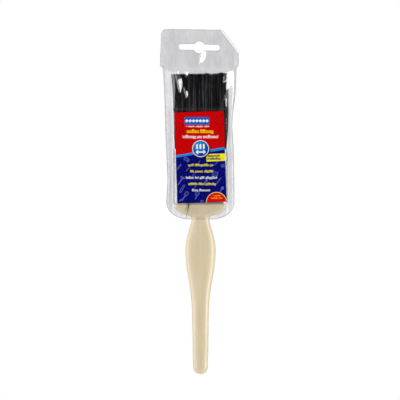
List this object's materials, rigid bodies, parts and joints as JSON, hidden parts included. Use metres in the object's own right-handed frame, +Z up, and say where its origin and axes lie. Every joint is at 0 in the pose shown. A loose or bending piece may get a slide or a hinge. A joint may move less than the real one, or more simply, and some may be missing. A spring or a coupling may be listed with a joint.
{
  "type": "flat paint brush in hang sleeve",
  "caption": "Flat paint brush with a turned wooden handle and black bristles, hanging in a clear open-bottomed sleeve with a hang slot and a loose label card.",
  "frame": {"origin": "middle of the hang slot, on the plane where the two sheets of the sleeve meet", "axes": "+Z up, along the hanging brush from handle to bristles; +Y from the front of the label towards the display wall; +X to the right, seen from the front"},
  "size_m": [0.0561, 0.0143, 0.2466],
  "materials": {
    "lacquered_wood": "clear lacquer over pale wood",
    "tinned_steel": "bright tinned sheet",
    "nail_steel": "bright",
    "resin": "set resin",
    "plug_wood": "raw wood",
    "black_bristle": "fine black hairs with a soft sheen",
    "printed_card": "red and blue print, semi-gloss",
    "clear_film": "clear glossy film"
  },
  "bodies": {
    "sleeve": {"sleeve_front_sheet": "clear_film", "sleeve_back_sheet": "clear_film"},
    "brush": {"handle": "lacquered_wood", "ferrule": "tinned_steel", "ferrule_nail_front_left": "nail_steel", "ferrule_nail_front_right": "nail_steel", "ferrule_nail_back_left": "nail_steel", "ferrule_nail_back_right": "nail_steel", "resin_setting": "resin", "spacer_plug": "plug_wood", "bristle_bank_front": "black_bristle", "bristle_bank_back": "black_bristle"},
    "label_card": {"label_card": "printed_card"}
  },
  "joints": [
    {"name": "brush_slide", "type": "slide", "parent": "sleeve", "child": "brush", "axis": [0, 0, -1], "range_m": [0, 0.115]},
    {"name": "card_slide", "type": "slide", "parent": "sleeve", "child": "label_card", "axis": [0, 0, -1], "range_m": [0, 0.08]}
  ]
}
